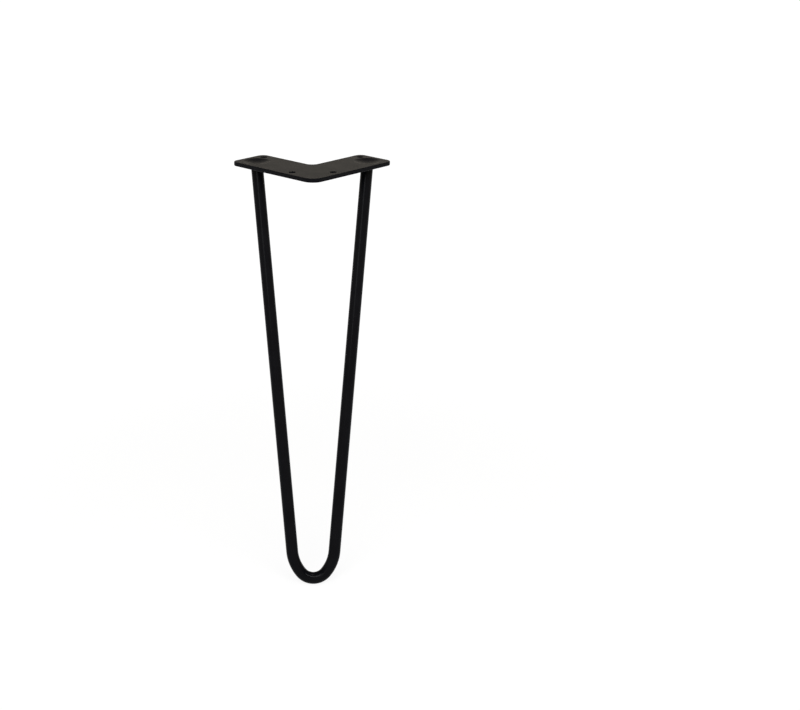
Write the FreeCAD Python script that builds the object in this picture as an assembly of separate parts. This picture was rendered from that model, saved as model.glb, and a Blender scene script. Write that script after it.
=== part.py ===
# Hairpin table leg.
# One round steel bar is bent to a narrow hairpin. Its two ends are welded into a
# right-angled plate that is screwed under the corner of a table top.
# Sizes are in millimetres. +Z is up, and the corner of the plate points to -Y.
# The origin lies on the plate's top face, where the middle lines of its two arms cross.
import FreeCAD
import Part
import math
import os

from FreeCAD import Vector

# Plate: two flat arms that meet in a corner, cut from one sheet
plate_thickness = 4.0
corner_angle = 90.0
arm_length = 112.0
arm_width = 43.5
tip_radius = 12.0
notch_radius = 7.5
arm_end_radius = 7.0
edge_bevel = 0.4

# Screw holes, measured along an arm and across it
screw_hole_diameter = 6.5
front_hole_from_tip = 36.0
front_hole_from_outer_edge = 8.5
rear_hole_from_arm_end = 9.5
rear_hole_from_inner_edge = 8.5

# Bar: leg_height runs from the top face of the plate down to the floor
bar_diameter = 12.0
leg_height = 406.0
bar_from_arm_end = 17.0
bar_from_outer_edge = 18.2
foot_ahead_of_tip = 33.0

# Bend of the foot, along the middle of the bar: a tight arc between two wider ones
foot_radius = 16.0
flank_radius = 39.0
foot_arc_half_angle = 50.0

# Welds: a dished one on top of each bar end, and a bead round the bar under the plate
bar_hole_clearance = 0.15
bar_end_in_plate = 1.5
dish_rim = 7.5
dish_floor_radius = 5.0
dish_depth = 1.9
weld_root_rim = 0.5
bead_leg = 3.5
bead_toe = 0.3
bead_bulge = 0.5

# Worked out from the sizes above
half_corner = math.radians(corner_angle / 2)
tip_y = -arm_width / 2 / math.sin(half_corner)
bar_radius = bar_diameter / 2
bar_end_z = bar_end_in_plate - plate_thickness
dish_radius = bar_radius + dish_rim
foot_middle = Vector(0, tip_y - foot_ahead_of_tip, bar_radius - leg_height)

# How far cutters and trimmed ends are carried past the faces that they meet
overshoot = 2 * bar_diameter


def on_arm(side, along, inward):
    """Point on the left (-1) or right (+1) arm, from the sharp tip along and in from the outer edge."""
    x = side * (along * math.sin(half_corner) - inward * math.cos(half_corner))
    y = tip_y + along * math.cos(half_corner) + inward * math.sin(half_corner)
    return Vector(x, y, 0)


def bar_top(side):
    """Where the middle line of one bar end would cross the top face."""
    return on_arm(side, arm_length - bar_from_arm_end, bar_from_outer_edge)


def hairpin_plane():
    """Upward direction of the hairpin's sloping plane, and its height from foot to top face."""
    rise = (bar_top(-1) + bar_top(1)) / 2 - foot_middle
    height = rise.Length
    return rise.normalize(), height


def leg_tangent(flank_centre, top):
    """Angle, from straight down, at which a straight run to the top leaves the flank's arc."""
    across, up = top[0] - flank_centre[0], top[1] - flank_centre[1]
    return math.atan2(up, across) + math.asin(flank_radius / math.hypot(across, up))


def arc_point(centre, radius, angle):
    """Point on an arc in the hairpin's plane, at an angle from straight down."""
    return centre[0] + radius * math.sin(angle), centre[1] - radius * math.cos(angle)


def right_half():
    """Named points of the right half of the middle line, in the hairpin's plane."""
    height = hairpin_plane()[1]
    top = (bar_top(1).x, height)
    join_angle = math.radians(foot_arc_half_angle)
    foot_centre = (0.0, foot_radius)
    join = arc_point(foot_centre, foot_radius, join_angle)
    flank_centre = arc_point(join, -flank_radius, join_angle)
    leg_angle = leg_tangent(flank_centre, top)
    flank_middle = arc_point(flank_centre, flank_radius, (join_angle + leg_angle) / 2)
    leg_start = arc_point(flank_centre, flank_radius, leg_angle)
    return join, flank_middle, leg_start, leg_angle, top


def hairpin_path():
    """Middle line of the bar, with both ends carried on past the top face, and its first point."""
    up = hairpin_plane()[0]
    join, flank_middle, leg_start, leg_angle, top = right_half()
    overrun = (top[0] + overshoot * math.cos(leg_angle), top[1] + overshoot * math.sin(leg_angle))

    def place(point, side):
        return foot_middle + Vector(side * point[0], 0, 0) + up * point[1]

    def leg(side):
        return Part.LineSegment(place(overrun, side), place(leg_start, side))

    def flank(side):
        return Part.Arc(place(leg_start, side), place(flank_middle, side), place(join, side))

    foot = Part.Arc(place(join, -1), foot_middle, place(join, 1))
    stretches = [leg(-1), flank(-1), foot, flank(1), leg(1)]
    return Part.Wire([stretch.toShape() for stretch in stretches]), place(overrun, -1)


def bar_direction(side):
    """Downward direction of one straight run of the bar."""
    up = hairpin_plane()[0]
    leg_angle = right_half()[3]
    return Vector(-side * math.cos(leg_angle), 0, 0) - up * math.sin(leg_angle)


def bar_axis_at(side, z):
    """Where the middle line of one straight run crosses a given height."""
    down = bar_direction(side)
    return bar_top(side) + down * (z / down.z)


def straight_bar(side, radius):
    """Round rod along one straight run, from above the plate to well below it."""
    down = bar_direction(side)
    start = bar_top(side) - down * overshoot
    return Part.makeCylinder(radius, 2 * overshoot + plate_thickness, start, down)


def slab(bottom_z, top_z):
    """Wide block between two heights, for trimming pieces flat."""
    width = 4 * arm_length
    return Part.makeBox(width, width, top_z - bottom_z, Vector(-width / 2, -width / 2, bottom_z))


def rounded_outline():
    """The plate's sheet with each corner of its outline rounded."""
    corners = [
        (on_arm(1, 0, 0), tip_radius),
        (on_arm(1, arm_length, 0), arm_end_radius),
        (on_arm(1, arm_length, arm_width), arm_end_radius),
        (on_arm(1, arm_width / math.tan(half_corner), arm_width), notch_radius),
        (on_arm(-1, arm_length, arm_width), arm_end_radius),
        (on_arm(-1, arm_length, 0), arm_end_radius),
    ]
    outline = Part.makePolygon([point for point, radius in corners] + [corners[0][0]])
    sheet = Part.Face(outline).extrude(Vector(0, 0, -plate_thickness))
    for corner, radius in corners:
        upright = [edge for edge in sheet.Edges if edge.distToShape(Part.Vertex(corner))[0] < 1e-4
                   and edge.distToShape(Part.Vertex(corner - Vector(0, 0, plate_thickness)))[0] < 1e-4]
        sheet = sheet.makeFillet(radius, upright)
    return sheet


def ease_rim(sheet):
    """Bevels the sheet's outline along its top and bottom faces."""
    rim = [edge for edge in sheet.Edges if edge.BoundBox.ZLength < 1e-6]
    return sheet.makeChamfer(edge_bevel, rim)


def screw_hole(centre):
    """Through hole with both its rims bevelled."""
    radius = screw_hole_diameter / 2
    bottom = centre - Vector(0, 0, plate_thickness)
    shaft = Part.makeCylinder(radius, plate_thickness, bottom)
    top_rim = Part.makeCone(radius + edge_bevel, radius, edge_bevel, centre, Vector(0, 0, -1))
    bottom_rim = Part.makeCone(radius + edge_bevel, radius, edge_bevel, bottom)
    return shaft.fuse([top_rim, bottom_rim])


def screw_hole_centres():
    """The front pair near the plate's corner, then the rear pair at the ends of the arms."""
    rear_along = arm_length - rear_hole_from_arm_end
    rear_inward = arm_width - rear_hole_from_inner_edge
    front = [on_arm(side, front_hole_from_tip, front_hole_from_outer_edge) for side in (-1, 1)]
    rear = [on_arm(side, rear_along, rear_inward) for side in (-1, 1)]
    return front + rear


def weld_cone(side):
    """Cone over a bar end, open at the top face, that the plate is cut to and the weld fills."""
    root_radius = (bar_radius + bar_hole_clearance) / -bar_direction(side).z + weld_root_rim
    root = bar_axis_at(side, bar_end_z)
    return Part.makeCone(root_radius, dish_radius, -bar_end_z, root)


def bar_hole(side):
    """Sloping hole for a bar end, with the cone for its weld above it."""
    return straight_bar(side, bar_radius + bar_hole_clearance).fuse(weld_cone(side))


def mounting_plate():
    """The finished plate with its four screw holes and two bar holes."""
    plate = ease_rim(rounded_outline())
    cutters = [screw_hole(centre) for centre in screw_hole_centres()]
    cutters += [bar_hole(side) for side in (-1, 1)]
    return plate.cut(cutters)


def hairpin_rod():
    """The whole bar, swept along its middle line and cut level inside the plate."""
    path, start = hairpin_path()
    section = Part.Wire(Part.makeCircle(bar_radius, start, bar_direction(-1)))
    bar = path.makePipeShell([section], True, False)
    return bar.cut(slab(bar_end_z, 2 * overshoot))


def dish(side):
    """Shallow round hollow in the top of a weld, sloping down to a small flat floor."""
    centre = bar_axis_at(side, bar_end_z) - Vector(0, 0, bar_end_z)
    return Part.makeCone(dish_radius, dish_floor_radius, dish_depth, centre, Vector(0, 0, -1))


def plug_weld(side):
    """Weld over a bar end: it fills the cone and is dished, so that the plate seats flat."""
    return weld_cone(side).cut(dish(side))


def fillet_weld(side):
    """Bead round the bar where it leaves the underside of the plate, bulging a little at its waist."""
    middle = bar_axis_at(side, -plate_thickness - bead_leg / 2)
    seat = Vector(middle.x, middle.y, -plate_thickness)
    toe = Vector(middle.x, middle.y, -plate_thickness - bead_leg)
    bar_half_section = bar_radius / -bar_direction(side).z
    lean = (bar_axis_at(side, -plate_thickness) - seat).Length
    seat_radius = bar_half_section + bead_leg
    toe_radius = bar_half_section + lean + bead_toe
    waist_radius = (seat_radius + toe_radius) / 2 + bead_bulge
    upper = Part.makeCone(waist_radius, seat_radius, bead_leg / 2, middle)
    lower = Part.makeCone(toe_radius, waist_radius, bead_leg / 2, toe)
    return lower.fuse(upper).cut(straight_bar(side, bar_radius))


def build():
    """Every piece of the leg by its name."""
    nodes = {"mounting_plate": mounting_plate(), "hairpin_rod": hairpin_rod()}
    for side, word in ((-1, "left"), (1, "right")):
        nodes["plug_weld_" + word] = plug_weld(side)
        nodes["fillet_weld_" + word] = fillet_weld(side)
    return nodes


os.makedirs("parts", exist_ok=True)
for node, shape in build().items():
    shape.exportStep(os.path.join("parts", node + ".step"))
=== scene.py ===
import math

import bmesh
import bpy
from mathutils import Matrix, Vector, noise


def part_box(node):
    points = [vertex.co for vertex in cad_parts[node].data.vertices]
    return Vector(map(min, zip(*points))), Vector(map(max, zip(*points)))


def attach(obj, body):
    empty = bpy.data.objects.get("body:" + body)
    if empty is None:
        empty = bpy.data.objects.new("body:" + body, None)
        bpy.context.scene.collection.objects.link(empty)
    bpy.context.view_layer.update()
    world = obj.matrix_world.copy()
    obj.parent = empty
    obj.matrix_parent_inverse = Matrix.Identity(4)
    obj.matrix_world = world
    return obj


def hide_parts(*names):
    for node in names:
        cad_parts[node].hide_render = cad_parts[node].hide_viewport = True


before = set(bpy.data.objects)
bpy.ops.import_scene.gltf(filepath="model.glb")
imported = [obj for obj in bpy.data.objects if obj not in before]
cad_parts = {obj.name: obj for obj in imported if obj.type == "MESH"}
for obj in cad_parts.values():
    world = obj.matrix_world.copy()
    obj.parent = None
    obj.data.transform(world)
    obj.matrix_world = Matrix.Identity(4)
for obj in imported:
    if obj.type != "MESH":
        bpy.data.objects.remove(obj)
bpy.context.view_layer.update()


# Corner plate.
# Two flat arms laser-cut in one piece from 4 mm steel sheet, with four screw holes.
# It is powder coated in satin black after welding, so the coat runs over every edge.
class Value:
    """A shader socket that can stand in a formula: each operator adds one Math node."""

    def __init__(self, tree, socket=None):
        self.tree = tree
        self.socket = socket

    def node(self, kind, settings, inputs, output=0):
        """Adds a node: its settings first, then the value or link of each input. Gives one output."""
        made = self.tree.nodes.new(kind)
        for name, setting in settings.items():
            setattr(made, name, setting)
        for name, given in inputs.items():
            if isinstance(given, Value):
                self.tree.links.new(given.socket, made.inputs[name])
            else:
                made.inputs[name].default_value = given
        return Value(self.tree, made.outputs[output]) if made.outputs else None

    def maths(self, operation, first, second):
        return self.node("ShaderNodeMath", {"operation": operation}, {0: first, 1: second})

    def __add__(self, other):
        return self.maths("ADD", self, other)

    def __radd__(self, other):
        return self.maths("ADD", other, self)

    def __sub__(self, other):
        return self.maths("SUBTRACT", self, other)

    def __rsub__(self, other):
        return self.maths("SUBTRACT", other, self)

    def __mul__(self, other):
        return self.maths("MULTIPLY", self, other)

    def __rmul__(self, other):
        return self.maths("MULTIPLY", other, self)


coat_black = (0.0010, 0.0010, 0.0018, 1)
coat_thin = (0.0056, 0.0056, 0.0070, 1)
dust_grey = (0.090, 0.087, 0.081, 1)
grain_size = 0.00022
patch_size = 0.018
dust_spacing = 0.0035
dust_core, dust_rim = 0.020, 0.045
dust_cover = 0.5
patch_share, grain_share = 0.7, 0.3
grain_relief = 0.22
patch_sheen, grain_sheen = 0.10, 0.12
noise_middle = 0.5
coat_specular = 0.04


def powder_coat(name, peel_size, peel_depth, roughness):
    """Satin black powder coat: an orange-peel skin with a fine grain, a little uneven in its sheen."""
    material = bpy.data.materials.new(name)
    material.use_nodes = True
    material.node_tree.nodes.clear()
    coat = Value(material.node_tree)
    place = coat.node("ShaderNodeTexCoord", {}, {}, "Object")

    def mottle(size, detail):
        return coat.node(
            "ShaderNodeTexNoise",
            {},
            {"Vector": place, "Scale": 1 / size, "Detail": detail, "Roughness": 0.5},
        )

    peel = mottle(peel_size, detail=1.0)
    grain = mottle(grain_size, detail=2.0)
    patches = mottle(patch_size, detail=3.0)
    specks = coat.node(
        "ShaderNodeTexVoronoi",
        {"feature": "F1"},
        {"Vector": place, "Scale": 1 / dust_spacing, "Randomness": 1.0},
    )
    dust = coat.node(
        "ShaderNodeMapRange",
        {"interpolation_type": "SMOOTHSTEP"},
        {"Value": specks, "From Min": dust_core, "From Max": dust_rim, "To Min": 1.0, "To Max": 0.0},
    )
    body = coat.node(
        "ShaderNodeMix",
        {"data_type": "RGBA"},
        {0: patches * patch_share + grain * grain_share, 6: coat_black, 7: coat_thin},
        2,
    )
    colour = coat.node(
        "ShaderNodeMix",
        {"data_type": "RGBA"},
        {0: dust * dust_cover, 6: body, 7: dust_grey},
        2,
    )
    relief = coat.node(
        "ShaderNodeBump",
        {},
        {"Height": peel + grain * grain_relief, "Distance": peel_depth, "Strength": 1.0},
    )
    patch_part = (patches - noise_middle) * patch_sheen
    grain_part = (grain - noise_middle) * grain_sheen
    sheen = roughness + patch_part + grain_part
    surface = coat.node(
        "ShaderNodeBsdfPrincipled",
        {},
        {
            "Base Color": colour,
            "Roughness": sheen,
            "Normal": relief,
            "Specular IOR Level": coat_specular,
        },
    )
    coat.node("ShaderNodeOutputMaterial", {}, {"Surface": surface})
    return material


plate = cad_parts["mounting_plate"]
plate_coat = powder_coat("plate_coat", peel_size=0.0013, peel_depth=0.00005, roughness=0.44)
plate.data.materials[0] = plate_coat


# Bar.
# One length of 12 mm round steel bar, bent to a hairpin: a tight bend at the foot with a wider
# one on each side, and two straight runs up to the plate. Its ends stop inside the plate.
bar_low, bar_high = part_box("hairpin_rod")
plug_low, plug_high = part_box("plug_weld_right")
bar_radius = 0.006
foot_radius = 0.016
flank_radius = 0.039
foot_half_angle = math.radians(50)
bar_sides = 72
bend_steps = 28
run_steps = 80
sharp_edge = math.radians(50)

foot_middle = Vector((0, bar_low.y + bar_radius, bar_low.z + bar_radius))
bar_end = (plug_low + plug_high) / 2
bar_end.z = bar_high.z

rise = Vector((0, bar_end.y, bar_end.z)) - foot_middle
slope = rise.normalized()
flat_end = Vector((bar_end.x, rise.length))


def arc_point(centre, radius, angle):
    """Point on an arc in the hairpin's own plane, at an angle from straight down."""
    return centre + radius * Vector((math.sin(angle), -math.cos(angle)))


foot_centre = Vector((0, foot_radius))
join = arc_point(foot_centre, foot_radius, foot_half_angle)
flank_centre = arc_point(join, -flank_radius, foot_half_angle)
to_end = flat_end - flank_centre
run_angle = math.atan2(to_end.y, to_end.x) + math.asin(flank_radius / to_end.length)


def half_line():
    """Right half of the bar's middle line as points and angles, from the foot up, in its own plane."""
    line = []
    for step in range(bend_steps):
        angle = foot_half_angle * step / bend_steps
        line.append((arc_point(foot_centre, foot_radius, angle), angle))
    for step in range(bend_steps):
        angle = foot_half_angle + (run_angle - foot_half_angle) * step / bend_steps
        line.append((arc_point(flank_centre, flank_radius, angle), angle))
    run_start = arc_point(flank_centre, flank_radius, run_angle)
    for step in range(run_steps + 1):
        line.append((run_start.lerp(flat_end, step / run_steps), run_angle))
    return line


def in_space(point):
    """A point of the hairpin's plane, placed in the row's frame."""
    return foot_middle + Vector((point.x, 0, 0)) + slope * point.y


def add_piece(name, mesh_data, material):
    """Turns a finished bmesh into a coated piece of the leg, smooth but for its sharp edges."""
    bmesh.ops.recalc_face_normals(mesh_data, faces=mesh_data.faces)
    for face in mesh_data.faces:
        face.smooth = True
    for edge in mesh_data.edges:
        edge.smooth = edge.calc_face_angle(0) < sharp_edge
    mesh = bpy.data.meshes.new(name)
    mesh_data.to_mesh(mesh)
    mesh_data.free()
    mesh.materials.append(material)
    piece = bpy.data.objects.new(name, mesh)
    bpy.context.scene.collection.objects.link(piece)
    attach(piece, "root")
    return piece


def skin(rings, mesh_data, closed=False):
    """Joins neighbouring rings of vertices with quads."""
    pairs = list(zip(rings, rings[1:]))
    if closed:
        pairs.append((rings[-1], rings[0]))
    for lower, upper in pairs:
        for index in range(len(lower)):
            after = (index + 1) % len(lower)
            mesh_data.faces.new((lower[index], lower[after], upper[after], upper[index]))


def bar_mesh():
    """The bar's skin: a ring of vertices at each point of the middle line, with both ends closed."""
    right = half_line()
    left = [(Vector((-point.x, point.y)), -angle) for point, angle in right[:0:-1]]
    line = left + right
    mesh_data = bmesh.new()
    across_plane = slope.cross(Vector((1, 0, 0)))
    rings = []
    for step, (point, angle) in enumerate(line):
        heading = Vector((math.cos(angle), 0, 0)) + slope * math.sin(angle)
        outward = heading.cross(across_plane).normalized()
        ring = []
        for side in range(bar_sides):
            turn = 2 * math.pi * side / bar_sides
            reach = math.cos(turn) * outward + math.sin(turn) * across_plane
            spot = in_space(point) + bar_radius * reach
            if step in (0, len(line) - 1):
                spot += heading * ((bar_end.z - spot.z) / heading.z)
            ring.append(mesh_data.verts.new(spot))
        rings.append(ring)
    skin(rings, mesh_data)
    mesh_data.faces.new(rings[0])
    mesh_data.faces.new(rings[-1])
    return mesh_data


bar_coat = powder_coat("bar_coat", peel_size=0.0012, peel_depth=0.00003, roughness=0.18)
bar = add_piece("bent_bar", bar_mesh(), bar_coat)
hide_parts("hairpin_rod")


# Welds over the bar's ends.
# Weld metal fills the plate over each bar end and is ground to a shallow round hollow, so that
# the plate seats flat on the table. The coat runs over it in one skin with the plate.
hollow_radius = (plug_high.x - plug_low.x) / 2
hollow_depth = 0.0021
hollow_fall = 1.25
hollow_rings = 26
plug_sides = 120
lump_size = 0.0045
lump_height = 0.00007
bar_hole_clearance = 0.00015
weld_root_rim = 0.0005
run_heading = Vector((math.cos(run_angle), 0, 0)) + slope * math.sin(run_angle)
root_radius = (bar_radius + bar_hole_clearance) / run_heading.z + weld_root_rim


def hollow_height(radius, spot):
    """Height of the ground hollow: an even bowl that runs out flat at its rim, and a little uneven."""
    out = radius / hollow_radius
    bowl = -hollow_depth * (1 - out * out) ** hollow_fall
    return bowl + lump_height * (1 - out * out) ** 2 * noise.noise(spot / lump_size)


def plug_mesh(side):
    """A plug of weld: a short cone in the plate, hollowed from above."""
    mesh_data = bmesh.new()
    rings = []

    def ring(radius, height=None):
        made = []
        for index in range(plug_sides):
            turn = 2 * math.pi * index / plug_sides
            across = side * bar_end.x + radius * math.cos(turn)
            along = bar_end.y + radius * math.sin(turn)
            spot = Vector((across, along, 0))
            spot.z = hollow_height(radius, spot) if height is None else height
            made.append(mesh_data.verts.new(spot))
        rings.append(made)

    ring(root_radius, bar_end.z)
    ring(hollow_radius, 0.0)
    for step in range(1, hollow_rings):
        ring(hollow_radius * (1 - step / hollow_rings))
    skin(rings, mesh_data)
    mesh_data.faces.new(rings[0])
    mesh_data.faces.new(rings[-1])
    return mesh_data


weld_coat = powder_coat("weld_coat", peel_size=0.0014, peel_depth=0.00006, roughness=0.43)
for side, word in ((-1, "left"), (1, "right")):
    plug = add_piece("ground_weld_" + word, plug_mesh(side), weld_coat)
    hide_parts("plug_weld_" + word)


# Beads under the plate.
# A bead of weld is laid by hand round the bar where it meets the plate's underside. It keeps
# its overlapping ripples, with a thicker spot where it starts and stops, under the coat.
plate_thickness = 0.004
bead_leg = 0.0035
bead_toe = 0.0003
bead_bulge = 0.0005
nearly_at_toe = 0.999
bead_ripples = 27
ripple_height = 0.00028
ripple_lean = 1.1
ripple_middle = 0.6
bead_wander = 0.0002
wander_pace = 1.4
wander_apart = 3
overlap_height = 0.0005
overlap_turn, overlap_spread = 1.7, 0.22
bead_overlap_with_bar = 0.0001
bead_steps = 16
bead_slices = 324


def bar_reach(turn, side):
    """How far the sloping bar's skin is from its middle line, measured level, in one direction."""
    level = Vector((math.cos(turn), math.sin(turn), 0))
    heading = Vector((side * run_heading.x, run_heading.y, run_heading.z))
    return bar_radius / math.sqrt(1 - level.dot(heading) ** 2)


def bead_thickness(turn, down, side):
    """Thickness of the bead outside the bar, at a share of its height down from the plate."""
    waist = math.sin(math.pi * min(down, nearly_at_toe))
    ripple = abs(math.sin(bead_ripples * turn / 2 + ripple_lean * (2 * down - 1) ** 2))
    around = Vector((math.cos(turn), math.sin(turn), wander_apart * side))
    wander = bead_wander * noise.noise(around * wander_pace)
    overlap = math.exp(-((turn - overlap_turn) / overlap_spread) ** 2)
    plain = bead_toe + (bead_leg - bead_toe) * (1 - down) + bead_bulge * waist
    return plain + waist ** 0.5 * (
        ripple_height * (ripple - ripple_middle) + wander + overlap_height * overlap
    )


def bead_mesh(side):
    """The bead: rings from the plate down to its toe on the bar, closed along the bar."""
    mesh_data = bmesh.new()
    rings = []

    def ring(down, thickness):
        height = -plate_thickness - bead_leg * down
        middle = bar_end + run_heading * ((height - bar_end.z) / run_heading.z)
        made = []
        for index in range(bead_slices):
            turn = 2 * math.pi * index / bead_slices
            reach = bar_reach(turn, side) + thickness(turn)
            made.append(mesh_data.verts.new((
                side * middle.x + reach * math.cos(turn),
                middle.y + reach * math.sin(turn),
                height,
            )))
        rings.append(made)

    for step in range(bead_steps + 1):
        down = step / bead_steps
        ring(down, lambda turn: bead_thickness(turn, down, side))
    for down in (1, 0):
        ring(down, lambda turn: -bead_overlap_with_bar)
    skin(rings, mesh_data, closed=True)
    return mesh_data


for side, word in ((-1, "left"), (1, "right")):
    bead = add_piece("weld_bead_" + word, bead_mesh(side), weld_coat)
    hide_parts("fillet_weld_" + word)


# Studio.
# A white floor and surround, a soft box overhead, a long one high in front, and a tall one at
# the left. The camera stands where the photograph's did.
photo_width, photo_height = 800, 710
leg_middle = Vector((0, 0.00424, -0.205))
camera_distance = 1.4172
camera_elevation = math.radians(21.147)
camera_turn = math.radians(0.678)
camera_range = 20
focal_pixels = 1415.27
leg_column, leg_row = 312.62, 372.76
sensor_width = 36

view = Vector((
    math.sin(camera_turn) * math.cos(camera_elevation),
    math.cos(camera_turn) * math.cos(camera_elevation),
    -math.sin(camera_elevation),
))
lens = bpy.data.cameras.new("camera")
lens.sensor_width = sensor_width
lens.lens = focal_pixels * sensor_width / photo_width
lens.shift_x = (photo_width / 2 - leg_column) / photo_width
lens.shift_y = (leg_row - photo_height / 2) / photo_width
lens.clip_end = camera_range
camera = bpy.data.objects.new("camera", lens)
camera.location = leg_middle - view * camera_distance
camera.rotation_euler = view.to_track_quat("-Z", "Y").to_euler()
bpy.context.scene.collection.objects.link(camera)
bpy.context.scene.camera = camera


def soft_lamp(name, place, target, width, height, watts, colour):
    """A rectangular soft box, aimed at a point."""
    data = bpy.data.lights.new(name, "AREA")
    data.shape = "RECTANGLE"
    data.size = width
    data.size_y = height
    data.energy = watts
    data.color = colour
    lamp = bpy.data.objects.new(name, data)
    lamp.location = place
    lamp.rotation_euler = (Vector(target) - Vector(place)).to_track_quat("-Z", "Y").to_euler()
    bpy.context.scene.collection.objects.link(lamp)


soft_lamp(
    "overhead",
    place=(0.1, 0.05, 1.3),
    target=(0, 0, -0.2),
    width=0.55,
    height=0.4,
    watts=5.5,
    colour=(1.0, 0.92, 0.78),
)
soft_lamp(
    "front_high",
    place=(0.06, -1.05, 0.90),
    target=(0, 0, -0.3),
    width=1.9,
    height=0.28,
    watts=24,
    colour=(1.0, 1.0, 1.0),
)
soft_lamp(
    "left_front",
    place=(-0.48, -1.45, 0.6),
    target=(0, 0, -0.1),
    width=0.5,
    height=0.8,
    watts=4.5,
    colour=(0.93, 0.97, 1.0),
)

# Under the leg a little of the floor's light is its own shading. Further off it glows plain white.
floor_reach = 6
shadow_reach, plain_reach = 0.2, 0.9
glow_near = 0.87
floor_glow = 1.05
floor_grey = (0.8, 0.8, 0.8, 1)
pure_white = (1, 1, 1, 1)
floor_corners = [
    (-floor_reach, -floor_reach, 0),
    (floor_reach, -floor_reach, 0),
    (floor_reach, floor_reach, 0),
    (-floor_reach, floor_reach, 0),
]
floor_mesh = bpy.data.meshes.new("floor")
floor_mesh.from_pydata(floor_corners, [], [(0, 1, 2, 3)])
floor = bpy.data.objects.new("floor", floor_mesh)
floor.location.z = bar_low.z
bpy.context.scene.collection.objects.link(floor)

floor_white = bpy.data.materials.new("floor_white")
floor_white.use_nodes = True
floor_white.node_tree.nodes.clear()
paint = Value(floor_white.node_tree)


def watched(tree):
    """1 for a ray that shows the background: to the camera, or by way of gloss or glass."""
    camera_ray = tree.node("ShaderNodeLightPath", {}, {}, "Is Camera Ray")
    glossy_ray = tree.node("ShaderNodeLightPath", {}, {}, "Is Glossy Ray")
    glass_ray = tree.node("ShaderNodeLightPath", {}, {}, "Is Transmission Ray")
    return camera_ray + glossy_ray + glass_ray


place = paint.node("ShaderNodeTexCoord", {}, {}, "Object")
distance = paint.node("ShaderNodeVectorMath", {"operation": "LENGTH"}, {0: place}, "Value")
far_off = paint.node(
    "ShaderNodeMapRange",
    {"interpolation_type": "SMOOTHSTEP"},
    {
        "Value": distance,
        "From Min": shadow_reach,
        "From Max": plain_reach,
        "To Min": 0.0,
        "To Max": 1.0,
    },
)
matt = paint.node("ShaderNodeBsdfDiffuse", {}, {"Color": floor_grey})
glow = paint.node("ShaderNodeEmission", {}, {"Color": pure_white, "Strength": floor_glow})
white = paint.node(
    "ShaderNodeMixShader",
    {},
    {0: watched(paint) * (glow_near + far_off * (1 - glow_near)), 1: matt, 2: glow},
)
paint.node("ShaderNodeOutputMaterial", {}, {"Surface": white})
floor_mesh.materials.append(floor_white)

# The backdrop is white. The coat reflects a warm wall that gives way to a dim ceiling.
wall_top, ceiling_edge = 0.32, 0.52
wall_white, wall_glow = (1, 0.92, 0.79, 1), 1.07
backdrop_glow = 1.0
ceiling_glow, fill_glow = 0.12, 0.12
world = bpy.data.worlds.new("surround")
world.use_nodes = True
world.node_tree.nodes.clear()
air = Value(world.node_tree)
direction = air.node("ShaderNodeTexCoord", {}, {}, "Generated")
height = air.node("ShaderNodeSeparateXYZ", {}, {"Vector": direction}, "Z")
high_up = air.node(
    "ShaderNodeMapRange",
    {"interpolation_type": "SMOOTHSTEP"},
    {"Value": height, "From Min": wall_top, "From Max": ceiling_edge, "To Min": 0.0, "To Max": 1.0},
)
backdrop = air.node("ShaderNodeBackground", {}, {"Color": pure_white, "Strength": backdrop_glow})
warm_wall = air.node("ShaderNodeBackground", {}, {"Color": wall_white, "Strength": wall_glow})
ceiling = air.node("ShaderNodeBackground", {}, {"Color": pure_white, "Strength": ceiling_glow})
fill = air.node("ShaderNodeBackground", {}, {"Color": pure_white, "Strength": fill_glow})
room = air.node("ShaderNodeMixShader", {}, {0: high_up, 1: warm_wall, 2: ceiling})
lit = air.node("ShaderNodeMixShader", {}, {0: watched(air), 1: fill, 2: room})
camera_ray = air.node("ShaderNodeLightPath", {}, {}, "Is Camera Ray")
surround = air.node("ShaderNodeMixShader", {}, {0: camera_ray, 1: lit, 2: backdrop})
air.node("ShaderNodeOutputWorld", {}, {"Surface": surround})
bpy.context.scene.world = world
bpy.context.scene.view_settings.view_transform = "Standard"
